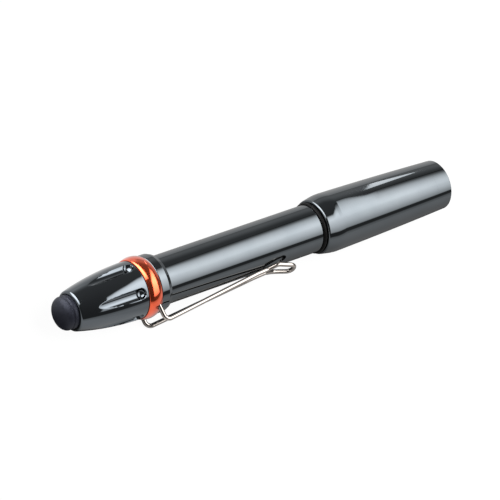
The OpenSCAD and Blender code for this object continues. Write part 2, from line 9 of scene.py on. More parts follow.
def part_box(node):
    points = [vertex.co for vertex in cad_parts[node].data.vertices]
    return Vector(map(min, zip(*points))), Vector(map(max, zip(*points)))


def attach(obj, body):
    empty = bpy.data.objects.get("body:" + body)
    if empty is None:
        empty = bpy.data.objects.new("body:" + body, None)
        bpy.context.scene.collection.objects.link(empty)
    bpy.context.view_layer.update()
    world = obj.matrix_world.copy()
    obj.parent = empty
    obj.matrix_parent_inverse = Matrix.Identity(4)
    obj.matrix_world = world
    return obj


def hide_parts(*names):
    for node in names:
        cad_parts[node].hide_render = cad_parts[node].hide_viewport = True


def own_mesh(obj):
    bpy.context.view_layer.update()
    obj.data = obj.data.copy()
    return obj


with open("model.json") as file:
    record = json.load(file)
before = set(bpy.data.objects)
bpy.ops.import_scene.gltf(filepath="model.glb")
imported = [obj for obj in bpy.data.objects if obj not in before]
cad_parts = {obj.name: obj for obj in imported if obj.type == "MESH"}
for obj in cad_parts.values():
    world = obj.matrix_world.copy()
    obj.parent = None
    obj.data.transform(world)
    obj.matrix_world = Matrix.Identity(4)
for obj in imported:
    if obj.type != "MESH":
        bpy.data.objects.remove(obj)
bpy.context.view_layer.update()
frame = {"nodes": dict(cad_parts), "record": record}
scene = bpy.context.scene
scene.view_settings.view_transform = "Standard"
mm = 0.001


class Socket:  # one output of a node, so that shader maths reads as maths
    def __init__(self, finish, socket):
        self.finish = finish
        self.socket = socket

    def maths(self, operation, first, second):
        return self.finish.add("ShaderNodeMath", {"operation": operation}, {0: first, 1: second})

    def __add__(self, other):
        return self.maths("ADD", self, other)

    def __radd__(self, other):
        return self.maths("ADD", other, self)

    def __sub__(self, other):
        return self.maths("SUBTRACT", self, other)

    def __rsub__(self, other):
        return self.maths("SUBTRACT", other, self)

    def __mul__(self, other):
        return self.maths("MULTIPLY", self, other)

    def __rmul__(self, other):
        return self.maths("MULTIPLY", other, self)

    def __truediv__(self, other):
        return self.maths("DIVIDE", self, other)

    def __rtruediv__(self, other):
        return self.maths("DIVIDE", other, self)

    def __pow__(self, other):
        return self.maths("POWER", self, other)

    def __gt__(self, other):
        return self.maths("GREATER_THAN", self, other)

    def __lt__(self, other):
        return self.maths("LESS_THAN", self, other)


class Finish:  # the node tree of a material or of the world
    def __init__(self, owner, coordinates="Object"):
        owner.use_nodes = True
        self.owner = owner
        self.tree = owner.node_tree
        self.tree.nodes.clear()
        self.place = self.add("ShaderNodeTexCoord", out=coordinates)

    def add(self, kind, settings=None, sockets=None, out=0):
        node = self.tree.nodes.new(kind)
        for key, value in (settings or {}).items():
            if key == "stops":
                self.setStops(node.color_ramp, value)
            else:
                setattr(node, key, value)
        for key, value in (sockets or {}).items():
            if isinstance(value, Socket):
                self.tree.links.new(value.socket, node.inputs[key])
            else:
                node.inputs[key].default_value = value
        if isinstance(out, tuple):
            return [Socket(self, node.outputs[o]) for o in out]
        return Socket(self, node.outputs[out]) if len(node.outputs) else node

    def setStops(self, ramp, stops):
        while len(ramp.elements) < len(stops):
            ramp.elements.new(1)
        for element, (position, colour) in zip(ramp.elements, stops):
            element.position = position
            element.color = (*colour, 1)

    def split(self):
        return self.add("ShaderNodeSeparateXYZ", sockets={0: self.place}, out=(0, 1, 2))

    def halfTurns(self):  # how far round the pen's axis, from +Y over +Z
        y, z = self.split()[1:]
        return self.add("ShaderNodeMath", {"operation": "ARCTAN2"}, {0: z, 1: y}) * (1 / pi)

    def noise(self, size, detail=2.0, stretch=(1, 1, 1), rough=0.5):  # size of the spots in mm
        spots = self.add("ShaderNodeMapping", sockets={"Vector": self.place, "Scale": stretch})
        sockets = {"Vector": spots, "Scale": 1 / (size * mm), "Detail": detail, "Roughness": rough}
        return self.add("ShaderNodeTexNoise", sockets=sockets, out="Fac")

    def rings(self, pitch):  # the fine rings that a lathe leaves, pitch in mm
        x, y, z = self.split()
        radius = (y * y + z * z) ** 0.5
        across = (x + 0.7 * radius) / (pitch * mm)
        sockets = {"W": across, "Scale": 1.0, "Detail": 2.0, "Roughness": 0.55}
        return self.add("ShaderNodeTexNoise", {"noise_dimensions": "1D"}, sockets, "Fac")

    def shade(self, amount, *stops):  # stops are (position, colour)
        return self.add("ShaderNodeValToRGB", {"stops": stops}, {"Fac": amount}, "Color")

    def bump(self, height, depth):  # depth in mm
        sockets = {"Height": height, "Distance": depth * mm, "Strength": 1.0}
        return self.add("ShaderNodeBump", sockets=sockets)

    def shown(self, shader):
        self.add("ShaderNodeOutputMaterial", sockets={"Surface": shader})
        return self.owner

    def surface(self, **values):  # Base_Color stands for the socket Base Color
        sockets = {key.replace("_", " "): value for key, value in values.items()}
        return self.shown(self.add("ShaderNodeBsdfPrincipled", sockets=sockets))

    def lightWhere(self, mask, light):  # clear outside the mask
        clear = self.add("ShaderNodeBsdfTransparent")
        return self.shown(self.add("ShaderNodeMixShader", sockets={0: mask, 1: clear, 2: light}))


def newFinish(name):
    return Finish(bpy.data.materials.new(name))


def grey(level):
    return (level, level, level)


def blackAnodised():
    finish = newFinish("black_anodised")
    rings = finish.rings(0.16)
    smudge = finish.noise(9, 4)
    x = finish.split()[0]
    smudgeAndCapLight = 0.4 * smudge + 0.6 * (x < -0.11)  # smudge is random tone; the cap's lighter tint is painted light, standing in for the brighter reflections on its lower side
    tint = finish.shade(smudgeAndCapLight, (0.12, (0.076, 0.085, 0.092)), (0.28, (0.086, 0.095, 0.102)),
                        (0.72, (0.082, 0.092, 0.101)), (0.88, (0.092, 0.102, 0.112)))
    rough = 0.02 + 0.02 * rings + 0.015 * smudge
    normal = finish.bump(rings, 0.0002)
    return finish.surface(Base_Color=tint, Metallic=1.0, Roughness=rough, Normal=normal)


def orangeAnodised():
    finish = newFinish("orange_anodised")
    rings = finish.rings(0.2)
    cloud = finish.noise(3, 3)
    tint = finish.shade(cloud, (0.3, (0.64, 0.069, 0.011)), (0.7, (0.71, 0.080, 0.014)))
    rough = 0.11 + 0.02 * rings + 0.02 * cloud
    normal = finish.bump(rings, 0.0002)
    return finish.surface(Base_Color=tint, Metallic=1.0, Roughness=rough, Normal=normal, Coat_Weight=0.85,
                          Coat_Roughness=0.06, Coat_IOR=1.5)


def polishedWire():
    finish = newFinish("polished_wire")
    drawn = finish.noise(0.25, 3, (0.04, 1, 1))
    haze = finish.noise(4, 3)
    tint = finish.shade(haze, (0.3, (0.29, 0.262, 0.24)), (0.7, (0.35, 0.32, 0.295)))
    rough = 0.06 + 0.05 * drawn + 0.05 * haze
    return finish.surface(Base_Color=tint, Metallic=1.0, Roughness=rough)


def buttonRubber():
    finish = newFinish("button_rubber")
    grain = finish.noise(0.12, 3)
    dust = finish.noise(1.6, 5, rough=0.65)
    tint = finish.shade(dust, (0.35, (0.008, 0.0083, 0.015)), (0.75, (0.013, 0.0135, 0.022)))
    rough = 0.42 + 0.12 * grain + 0.08 * dust
    return finish.surface(Base_Color=tint, Roughness=rough, Normal=finish.bump(grain, 0.006),
                          Specular_IOR_Level=0.25, Specular_Tint=(0.80, 0.86, 1.0, 1.0))


def sealRubber():
    finish = newFinish("seal_rubber")
    grain = finish.noise(0.1, 3)
    tint = finish.shade(grain, (0.3, (0.004, 0.004, 0.0042)), (0.7, (0.007, 0.007, 0.0073)))
    return finish.surface(Base_Color=tint, Roughness=0.4 + 0.16 * grain, Normal=finish.bump(grain, 0.003),
                          Specular_IOR_Level=0.06)


def contactBrass():
    finish = newFinish("contact_brass")
    tarnish = finish.noise(1.8, 5, rough=0.6)
    rings = finish.rings(0.15)
    tint = finish.shade(tarnish, (0.3, (0.56, 0.36, 0.12)), (0.7, (0.76, 0.55, 0.22)))
    rough = 0.2 + 0.15 * tarnish + 0.05 * rings
    return finish.surface(Base_Color=tint, Metallic=1.0, Roughness=rough, Normal=finish.bump(rings, 0.001))


def springSteel():
    finish = newFinish("spring_steel")
    drawn = finish.noise(0.2, 3)
    tint = finish.shade(drawn, (0.3, (0.48, 0.47, 0.45)), (0.7, (0.62, 0.61, 0.58)))
    return finish.surface(Base_Color=tint, Metallic=1.0, Roughness=0.2 + 0.14 * drawn)


def mouldedPlastic(name, dark, light, gloss):
    finish = newFinish(name)
    grain = finish.noise(0.18, 3)
    flow = finish.noise(5, 3)
    tint = finish.shade(flow, (0.3, dark), (0.7, light))
    return finish.surface(Base_Color=tint, Roughness=gloss + 0.14 * grain, Normal=finish.bump(grain, 0.004))


def cellCase():  # plain sleeve with bare metal at both ends
    finish = newFinish("cell_case")
    y, z = finish.split()[1:]
    radius = (y * y + z * z) ** 0.5
    sleeve = radius > 5.1 * mm
    film = finish.noise(3, 3)
    tint = finish.shade(0.8 * sleeve + 0.2 * film, (0.0, (0.55, 0.55, 0.54)), (0.2, (0.66, 0.66, 0.65)),
                        (0.8, (0.10, 0.13, 0.16)), (1.0, (0.14, 0.17, 0.21)))
    return finish.surface(Base_Color=tint, Metallic=1 - 0.6 * sleeve, Roughness=0.26 + 0.12 * film)


def greenBoard():  # solder mask with faint tracks below it
    finish = newFinish("green_board")
    sockets = {"Vector": finish.place, "Scale": 320.0, "Distortion": 6.0, "Detail": 1.0, "Detail Scale": 0.6}
    tracks = finish.add("ShaderNodeTexWave", {"bands_direction": "Y"}, sockets, "Fac")
    tint = finish.shade(tracks, (0.55, (0.010, 0.075, 0.035)), (0.75, (0.022, 0.125, 0.055)))
    return finish.surface(Base_Color=tint, Roughness=0.25 + 0.1 * tracks, Normal=finish.bump(tracks, 0.02))


def leadSleeve():  # one lead is red and one black
    finish = newFinish("lead_sleeve")
    y = finish.split()[1]
    grain = finish.noise(0.3, 2)
    red = (y > 0) * 0.8 + 0.2 * grain
    tint = finish.shade(red, (0.0, (0.010, 0.010, 0.011)), (0.2, (0.018, 0.018, 0.019)),
                        (0.8, (0.42, 0.022, 0.016)), (1.0, (0.52, 0.03, 0.022)))
    return finish.surface(Base_Color=tint, Roughness=0.34 + 0.12 * grain)


def emitterSilicone():  # clear dome over a pale chip
    finish = newFinish("emitter_silicone")
    y, z = finish.split()[1:]
    chip = finish.add("ShaderNodeMath", {"operation": "MAXIMUM"}, {0: y * y, 1: z * z}) ** 0.5
    grain = finish.noise(0.2, 2)
    tint = finish.shade(chip / (2 * mm) + 0.03 * grain, (0.0, (0.62, 0.60, 0.44)), (0.30, (0.66, 0.64, 0.48)),
                        (0.36, (0.42, 0.40, 0.34)), (0.40, (0.80, 0.79, 0.75)))
    return finish.surface(Base_Color=tint, Roughness=0.08 + 0.05 * grain, Coat_Weight=1.0)


def reflectorMirror():  # vacuum-coated bowl with a light orange peel
    finish = newFinish("reflector_mirror")
    peel = finish.noise(0.9, 1)
    tint = finish.shade(peel, (0.3, (0.86, 0.87, 0.89)), (0.7, (0.92, 0.93, 0.94)))
    return finish.surface(Base_Color=tint, Metallic=1.0, Roughness=0.04 + 0.03 * peel,
                          Normal=finish.bump(peel, 0.018))


def lensGlass():
    finish = newFinish("lens_glass")
    film = finish.noise(3, 2)
    tint = finish.shade(film, (0.3, (0.955, 0.97, 0.985)), (0.7, (0.985, 0.99, 1.0)))
    return finish.surface(Base_Color=tint, Roughness=0.004 + 0.01 * film, Transmission_Weight=1.0, IOR=1.52,
                          Coat_Weight=0.15)


finishes = {
    "black_anodised": blackAnodised(),
    "orange_anodised": orangeAnodised(),
    "polished_wire": polishedWire(),
    "button_rubber": buttonRubber(),
    "seal_rubber": sealRubber(),
    "contact_brass": contactBrass(),
    "spring_steel": springSteel(),
    "switch_plastic": mouldedPlastic("switch_plastic", (0.010, 0.010, 0.011), (0.018, 0.018, 0.020), 0.34),
    "plunger_plastic": mouldedPlastic("plunger_plastic", (0.60, 0.57, 0.47), (0.68, 0.65, 0.55), 0.3),
    "cell_case": cellCase(),
    "green_board": greenBoard(),
    "white_board": mouldedPlastic("white_board", (0.70, 0.71, 0.69), (0.79, 0.80, 0.78), 0.26),
    "lead_sleeve": leadSleeve(),
    "emitter_silicone": emitterSilicone(),
    "white_plastic": mouldedPlastic("white_plastic", (0.76, 0.76, 0.74), (0.83, 0.83, 0.81), 0.3),
    "reflector_mirror": reflectorMirror(),
    "lens_glass": lensGlass(),
}
print("finishes made:", len(finishes))


def spanOf(node):  # where a turned node starts and ends along the pen, and its radius, in mm
    low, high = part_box(node)
    return low.x / mm, high.x / mm, high.z / mm


def evenly(first, last, steps):
    return [first + (last - first) * i / steps for i in range(steps + 1)]


def arc(centre, radius, first, last, steps):  # (x, radius) points on a circle, angles in degrees from +X
    turns = [radians(turn) for turn in evenly(first, last, steps)]
    return [(centre[0] + radius * cos(t), centre[1] + radius * sin(t)) for t in turns]


def rounded(bm, geom, size, segments, affect="VERTICES"):
    bmesh.ops.bevel(bm, geom=geom, offset=size, offset_type="OFFSET", affect=affect, segments=segments,
                    profile=0.5, material=-1)


def spun(bm, angle, steps, **more):  # round the pen's axis
    geom = bm.verts[:] + bm.edges[:] + bm.faces[:]
    bmesh.ops.spin(bm, geom=geom, cent=(0, 0, 0), axis=(1, 0, 0), angle=angle, steps=steps, **more)


outlines = {"roundSteps": 6, "longEdge": 0.8, "endLoop": 0.08}


def outline(corners, closed=True):  # corners are (x, radius) or (x, radius, rounding) in mm
    bm = bmesh.new()
    verts = [bm.verts.new((c[0], 0, c[1])) for c in corners]
    for first, last in zip(verts, verts[1:] + verts[:1] if closed else verts[1:]):
        bm.edges.new((first, last))
    for vert, corner in zip(verts, corners):
        if len(corner) > 2:
            rounded(bm, [vert], corner[2], outlines["roundSteps"])
    # a loop near each end keeps long faces true
    for edge in [e for e in bm.edges if e.calc_length() > outlines["longEdge"]]:
        new, vert = bmesh.utils.edge_split(edge, edge.verts[0], outlines["endLoop"] / edge.calc_length())
        longer = max(edge, new, key=lambda e: e.calc_length())
        far = longer.other_vert(vert)
        bmesh.utils.edge_split(longer, far, outlines["endLoop"] / longer.calc_length())
    return bm


def turned(corners, closed=True, steps=180):
    bm = outline(corners, closed)
    spun(bm, 2 * pi, steps, use_merge=True)
    return bm


def toMetres(bm):
    bmesh.ops.scale(bm, vec=(mm, mm, mm), verts=bm.verts[:])


def meshOf(name, bm):
    mesh = bpy.data.meshes.new(name)
    bm.to_mesh(mesh)
    bm.free()
    return mesh


def placed(name, data):
    piece = bpy.data.objects.new(name, data)
    scene.collection.objects.link(piece)
    return piece


def finalMesh(piece):  # with its modifiers or its curve's thickness
    return bpy.data.meshes.new_from_object(piece.evaluated_get(bpy.context.evaluated_depsgraph_get()))


def made(name, bm, body, slot, *nodes, sharp=34):
    bmesh.ops.remove_doubles(bm, verts=bm.verts[:], dist=0.0005)
    bmesh.ops.recalc_face_normals(bm, faces=bm.faces[:])
    toMetres(bm)
    for face in bm.faces:
        face.smooth = True
    mesh = meshOf(name, bm)
    mesh.set_sharp_from_angle(angle=radians(sharp))
    mesh.materials.append(finishes[slot])
    piece = placed(name, mesh)
    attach(piece, body)
    if nodes:
        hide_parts(*nodes)
    return piece


root = "barrel_and_head"
rearNeck, frontNeck, collarRadius = spanOf("barrel")
lip, spigotEnd = spanOf("head_sleeve")[:2]
seam, front = spanOf("bezel")[:2]
ringBack, ringFront, ringRadius = spanOf("clip_ring")
rim, mouth, capRadius = spanOf("tail_cap")
tip, buttonFront, flangeRadius = spanOf("push_button")

barrel = {"grip": 7.0, "neck": 6.15, "bore": 5.4, "ringGap": 0.05, "collar": 3.6, "collarBevel": 0.42,
          "bevelLength": 1.1, "sealGap": 1.4, "threadRoot": 5.78, "threadLength": 6.2, "threadOut": 0.4,
          "boreEdge": 0.1, "neckEdge": 0.2, "collarEdge": 0.3, "bevelEdge": 0.05, "gripFoot": 0.06,
          "gripEdge": 0.22, "steps": 200}
collar = ringFront + barrel["ringGap"]
collarFront = collar + barrel["collar"]
grip = lip - barrel["sealGap"]
threadEnd = rearNeck + barrel["threadLength"]
tube = turned([
    (rearNeck, barrel["bore"], barrel["boreEdge"]),
    (rearNeck, barrel["threadRoot"], barrel["neckEdge"]),
    (threadEnd, barrel["threadRoot"]),
    (threadEnd + barrel["threadOut"], barrel["neck"]),
    (collar, barrel["neck"]),
    (collar, collarRadius, barrel["collarEdge"]),
    (collarFront - barrel["bevelLength"], collarRadius, barrel["bevelEdge"]),
    (collarFront, collarRadius - barrel["collarBevel"], barrel["bevelEdge"]),
    (collarFront, barrel["grip"], barrel["gripFoot"]),
    (grip, barrel["grip"], barrel["gripEdge"]),
    (grip, barrel["neck"]),
    (frontNeck, barrel["neck"], barrel["neckEdge"]),
    (frontNeck, barrel["bore"], barrel["boreEdge"]),
], steps=barrel["steps"])
made("barrel_tube", tube, root, "black_anodised", "barrel")

thread = {"start": 0.55, "foot": 5.6, "footWidth": 0.72, "crest": 6.12, "crestFrom": 0.26, "crestTo": 0.46,
          "pitch": 1.0, "runOut": 1.2, "perTurn": 60}
start = rearNeck + thread["start"]
ridge = [
    (start, thread["foot"]),
    (start + thread["footWidth"], thread["foot"]),
    (start + thread["crestTo"], thread["crest"]),
    (start + thread["crestFrom"], thread["crest"]),
]
helix = bmesh.new()
helix.faces.new([helix.verts.new((x, 0, radius)) for x, radius in ridge])
threadTurns = (barrel["threadLength"] - thread["runOut"]) / thread["pitch"]
spun(helix, 2 * pi * threadTurns, int(thread["perTurn"] * threadTurns),
     dvec=(thread["pitch"] / thread["perTurn"], 0, 0))
bmesh.ops.holes_fill(helix, edges=[e for e in helix.edges if e.is_boundary], sides=0)
made("barrel_thread", helix, root, "black_anodised")

head = {"lip": 7.9, "lipRound": 0.5, "crease": 8.66, "creaseBack": 42.4, "creaseRound": 16, "swell": 0.13,
        "front": 7.3, "spigot": 6.8, "lamp": 6.0, "ledge": 21.85, "neckPlay": 0.05, "endRoom": 0.3,
        "seamBack": 0.046, "creaseRows": 12, "taperRows": 30, "steps": 200}


def taperAt(x):  # radius of the head between crease and front
    f = (x + head["creaseBack"]) / head["creaseBack"]
    return head["crease"] + (head["front"] - head["crease"]) * f + 4 * head["swell"] * f * (1 - f)


crease = -head["creaseBack"]
shoulderTurn = atan2(head["crease"] - head["lip"], crease - lip)
taperTurn = atan2(head["front"] - head["crease"] + 4 * head["swell"], head["creaseBack"])
creaseHalf = head["creaseRound"] * tan((shoulderTurn - taperTurn) / 2)
creaseMiddle = (crease - creaseHalf * cos(shoulderTurn) + head["creaseRound"] * sin(shoulderTurn),
                head["crease"] - creaseHalf * sin(shoulderTurn) - head["creaseRound"] * cos(shoulderTurn))
creaseArc = arc(creaseMiddle, head["creaseRound"], 90 + degrees(shoulderTurn), 90 + degrees(taperTurn),
                head["creaseRows"])
headEnd = seam - head["seamBack"]
taper = [(x, taperAt(x)) for x in evenly(crease + creaseHalf, headEnd, head["taperRows"])[1:]]
neckBore = barrel["neck"] + head["neckPlay"]
neckStop = frontNeck + head["endRoom"]
sleeve = turned([
    (lip, neckBore),
    (lip, head["lip"], head["lipRound"]),
    *creaseArc,
    *taper,
    (headEnd, head["spigot"]),
    (spigotEnd, head["spigot"]),
    (spigotEnd, head["lamp"]),
    (-head["ledge"], head["lamp"]),
    (-head["ledge"], barrel["bore"]),
    (neckStop, barrel["bore"]),
    (neckStop, neckBore),
], steps=head["steps"])
made("head_shell", sleeve, root, "black_anodised", "head_sleeve")

bezel = {"bore": 6.85, "window": 5.4, "seat": 0.9, "edge": 0.25, "windowBevel": 0.4, "seamBack": 0.04,
         "round": 0.06, "noseRows": 8, "steps": 200}
noseBack = seam - bezel["seamBack"]
nose = [(x, taperAt(x)) for x in evenly(noseBack, front - bezel["edge"], bezel["noseRows"])]
cover = turned([
    (noseBack, bezel["bore"]),
    *nose,
    (front, nose[-1][1] - bezel["edge"], bezel["round"]),
    (front, bezel["window"] + bezel["windowBevel"], bezel["round"]),
    (front - bezel["windowBevel"], bezel["window"], bezel["round"]),
    (front - bezel["seat"], bezel["window"]),
    (front - bezel["seat"], bezel["bore"]),
], steps=bezel["steps"])
made("front_bezel", cover, root, "black_anodised", "bezel")
print("barrel and head turned")

seal = {"flash": 2, "sides": 26, "steps": 180}  # the flash line is 2 degrees wide to each side


def sealRing(node, name, body):  # a moulded ring with a fine flash line round its outside
    back, ahead, radius = spanOf(node)
    section = (ahead - back) / 2
    centre = ((back + ahead) / 2, radius - section)
    bead = arc(centre, section, 90 + seal["flash"], 450 - seal["flash"], seal["sides"])
    rubber = turned([*bead, (centre[0], radius)], steps=seal["steps"])
    made(name, rubber, body, "seal_rubber", node, sharp=60)


sealRing("head_seal", "head_seal_ring", root)
sealRing("cap_seal", "cap_seal_ring", "cap_seal")
sealRing("lens_seal", "lens_seal_ring", root)

clip = {"wire": 0.65, "wireSteps": 8, "prong": -106.9, "prongFoot": 4.781, "lean": 0.65, "rise": 11.05,
        "gap": 10.6, "meet": -71.7, "meetHeight": 8.05, "legGap": 1.75, "touch": -68.2, "rest": 7.85,
        "eyeLength": 8.6, "eyeSide": 3.3, "eyeWidth": 4.2, "tipWidth": 3.5, "eyeLift": 1.85, "turn": 107.99,
        "eyeTurn": 88.99, "prongBend": 1.7, "meetBend": 2.4, "touchBend": 1.8, "eyeBend": 2.4,
        "tipBend": 1.68, "bendSteps": 18}


def clipPoint(x, turn, height, side):  # a point over the barrel, turned from straight up towards -Y
    t = radians(turn)
    return Vector((x, -height * sin(t) - side * cos(t), height * cos(t) - side * sin(t)))


def clipCorners(side):  # corner points of one half of the wire, each with the radius of its bend
    prong, touch, turn, eye = clip["prong"], clip["touch"], clip["turn"], clip["eyeTurn"]
    wide, narrow = side * clip["gap"] / 2, side * clip["legGap"] / 2
    loop, end = side * clip["eyeWidth"] / 2, side * clip["tipWidth"] / 2
    return [
        (clipPoint(prong, turn, clip["prongFoot"], wide), 0),
        (clipPoint(prong + clip["lean"], turn, clip["rise"], wide), clip["prongBend"]),
        (clipPoint(clip["meet"], eye, clip["meetHeight"], narrow), clip["meetBend"]),
        (clipPoint(touch, eye, clip["rest"], narrow), clip["touchBend"]),
        (clipPoint(touch + clip["eyeSide"], eye, clip["rest"], loop), clip["eyeBend"]),
        (clipPoint(touch + clip["eyeLength"], eye, clip["rest"] + clip["eyeLift"], end), clip["tipBend"]),
    ]


route = bmesh.new()
bends = clipCorners(-1) + clipCorners(1)[::-1]
corners = [route.verts.new(point) for point, radius in bends]
for first, last in zip(corners, corners[1:]):
    route.edges.new((first, last))
for i in range(1, len(corners) - 1):
    before = (bends[i][0] - bends[i - 1][0]).normalized()
    after = (bends[i + 1][0] - bends[i][0]).normalized()
    rounded(route, [corners[i]], bends[i][1] * tan(before.angle(after) / 2), clip["bendSteps"])
ordered = [corners[0]]
edge = corners[0].link_edges[0]
while edge:
    vert = edge.other_vert(ordered[-1])
    ordered.append(vert)
    edge = next((e for e in vert.link_edges if e is not edge), None)
curve = bpy.data.curves.new("clip_route", "CURVE")
curve.dimensions = "3D"
curve.bevel_depth = clip["wire"]
curve.bevel_resolution = clip["wireSteps"]
curve.use_fill_caps = True
spline = curve.splines.new("POLY")
spline.points.add(len(ordered) - 1)
for point, vert in zip(spline.points, ordered):
    point.co = (*vert.co, 1)
route.free()
line = placed("clip_route", curve)
wire = bmesh.new()
wire.from_mesh(finalMesh(line))
bpy.data.objects.remove(line)
made("clip_wire", wire, "clip", "polished_wire", "pocket_clip", sharp=50)

ring = {"bore": 6.2, "edge": 8.45, "edgeRound": 0.12, "crownRows": 24, "steps": 240, "hole": 0.72,
        "holeSides": 48, "drillFrom": -0.5, "drillTo": 6.5, "outerPlay": 0.36, "innerPlay": 0.12}
half = (ringFront - ringBack) / 2
rise = ringRadius - ring["edge"]
crownRadius = (half * half + rise * rise) / (2 * rise)
crownTurn = degrees(acos((crownRadius - rise) / crownRadius))
crown = arc((ringBack + half, ringRadius - crownRadius), crownRadius, 90 + crownTurn, 90 - crownTurn,
            ring["crownRows"])
band = turned([
    (ringBack, ring["bore"]),
    (*crown[0], ring["edgeRound"]),
    *crown[1:-1],
    (*crown[-1], ring["edgeRound"]),
    (ringFront, ring["bore"]),
], steps=ring["steps"])
bandPiece = made("orange_ring", band, root, "orange_anodised", "clip_ring", sharp=50)

holes = bmesh.new()
drillLength = ring["drillTo"] - ring["drillFrom"]
near = 2 * ring["hole"]
for side in (-1, 1):
    foot, top = [point for point, radius in clipCorners(side)[:2]]
    along = (top - foot).normalized()
    innerEnd = foot + along * ring["drillFrom"]
    outerEnd = foot + along * ring["drillTo"]
    middle = foot + along * ((ring["drillFrom"] + ring["drillTo"]) / 2)
    place = Matrix.Translation(middle) @ along.to_track_quat("Z", "Y").to_matrix().to_4x4()
    drill = bmesh.ops.create_cone(holes, cap_ends=True, segments=ring["holeSides"], radius1=ring["hole"],
                                  radius2=ring["hole"], depth=drillLength, matrix=place)["verts"]
    outer = [v for v in drill if (v.co - outerEnd).length < near and v.co.x < outerEnd.x]
    inner = [v for v in drill if (v.co - innerEnd).length < near and v.co.x > innerEnd.x]
    # room for the prong to tilt as the clip lifts
    bmesh.ops.translate(holes, vec=(-ring["outerPlay"], 0, 0), verts=outer)
    bmesh.ops.translate(holes, vec=(ring["innerPlay"], 0, 0), verts=inner)
toMetres(holes)
cutter = placed("prong_holes", meshOf("prong_holes", holes))
cut = bandPiece.modifiers.new("prong_holes", "BOOLEAN")
cut.object = cutter
cut.solver = "EXACT"
drilled = finalMesh(bandPiece)
bandPiece.modifiers.clear()
bandPiece.data = drilled
bpy.data.objects.remove(cutter)
print("ring drilled, clip bent")

cap = {"neck": 6.2, "chamber": 5.45, "chamberFront": -116.35, "ledge": -129.4, "hole": 4.9, "holeEdge": 0.1,
       "rimDrop": 2.61, "rimRoom": 0.6, "rimRound": 0.58, "mouthEdge": 0.18, "seat": 7.2, "seatDepth": 1.05,
       "seatEdge": 0.06, "flutes": 6, "fluteTurn": -15, "fluteLength": 13, "fluteRadius": 1.85,
       "fluteDepth": 1.1, "fluteRunOut": 2, "dimpleBack": 2.4, "dimple": 1.65, "dimpleFloor": 6.75,
       "soft": 0.05, "plainMouth": 0.25, "plainPoint": 1, "fineRows": 122, "coarseRows": 10, "steps": 432,
       "slack": 0.01}
ogiveRadius = ((mouth - rim) ** 2 + cap["rimDrop"] ** 2) / (2 * cap["rimDrop"])
dimpleX = mouth - cap["dimpleBack"]
pointX = dimpleX - cap["fluteLength"]


def ogiveAt(x):
    return capRadius - ogiveRadius + sqrt(ogiveRadius ** 2 - (mouth - x) ** 2)


def metalAt(x, turn):  # how far out the cap's metal reaches, with flutes and dimples taken off
    skin = ogiveAt(x)
    step = 360 / cap["flutes"]
    off = radians((turn - clip["turn"] - cap["fluteTurn"] + step / 2) % step - step / 2)
    reach = 2 * capRadius
    if pointX - cap["fluteRunOut"] < x < dimpleX:
        f = (x - pointX) / cap["fluteLength"]
        low = ogiveAt(pointX) + (ogiveAt(dimpleX) - cap["fluteDepth"] - ogiveAt(pointX)) * f
        middle = low + cap["fluteRadius"]
        inside = cap["fluteRadius"] ** 2 - (middle * sin(off)) ** 2
        if inside > 0:
            reach = middle * cos(off) - sqrt(inside)
    middle = cap["dimpleFloor"] + cap["dimple"]
    inside = cap["dimple"] ** 2 - (x - dimpleX) ** 2 - (middle * sin(off)) ** 2
    if inside > 0:
        reach = min(reach, middle * cos(off) - sqrt(inside))
    blend = max(cap["soft"] - abs(skin - reach), 0) / cap["soft"]
    return min(skin, reach) - blend * blend * cap["soft"] / 4


fine = evenly(mouth - cap["plainMouth"], pointX - cap["plainPoint"], cap["fineRows"])
coarse = evenly(fine[-1], rim + cap["rimRoom"], cap["coarseRows"])[1:]
shell = turned([
    (mouth, cap["seat"], cap["seatEdge"]),
    (mouth, capRadius, cap["mouthEdge"]),
    *[(x, ogiveAt(x)) for x in fine + coarse],
    (rim, ogiveAt(rim), cap["rimRound"]),
    (rim, cap["hole"], cap["holeEdge"]),
    (cap["ledge"], cap["hole"]),
    (cap["ledge"], cap["chamber"]),
    (cap["chamberFront"], cap["chamber"]),
    (cap["chamberFront"], cap["neck"]),
    (mouth - cap["seatDepth"], cap["neck"]),
    (mouth - cap["seatDepth"], cap["seat"]),
], steps=cap["steps"])
for vert in shell.verts:
    x, y, z = vert.co
    radius = sqrt(y * y + z * z)
    if fine[-1] < x < fine[0] + cap["slack"] and abs(radius - ogiveAt(x)) < cap["slack"]:
        newRadius = metalAt(x, degrees(atan2(-y, z)))
        vert.co.y = y * newRadius / radius
        vert.co.z = z * newRadius / radius
made("fluted_cap", shell, "tail_cap", "black_anodised", "tail_cap", sharp=38)
print("cap fluted")

button = {"radius": 4.8, "crown": 7.4, "round": 2.2, "flangeBack": -129.35, "flangeRound": 0.12,
          "groove": 0.36, "grooveHalf": 0.38, "grooveAhead": 0.05, "grooveEdge": 0.16, "grooveFloor": 0.14,
          "roundFrom": 99, "roundRows": 14, "crownRows": 16, "steps": 160}
roundRadius = button["radius"] - button["round"]
crownX = tip + button["crown"]
roundX = crownX - sqrt((button["crown"] - button["round"]) ** 2 - roundRadius ** 2)
meetTurn = 180 - degrees(atan2(roundRadius, crownX - roundX))
grooveX = roundX + button["grooveAhead"]
dome = turned([
    (buttonFront, 0.0),
    (buttonFront, flangeRadius, button["flangeRound"]),
    (button["flangeBack"], flangeRadius, button["flangeRound"]),
    (button["flangeBack"], button["radius"]),
    (grooveX + button["grooveHalf"], button["radius"], button["grooveEdge"]),
    (grooveX, button["radius"] - button["groove"], button["grooveFloor"]),
    *arc((roundX, roundRadius), button["round"], button["roundFrom"], meetTurn, button["roundRows"]),
    *arc((crownX, 0), button["crown"], meetTurn, 180, button["crownRows"])[1:],
], closed=False, steps=button["steps"])
made("button_dome", dome, "button", "button_rubber", "push_button", sharp=50)

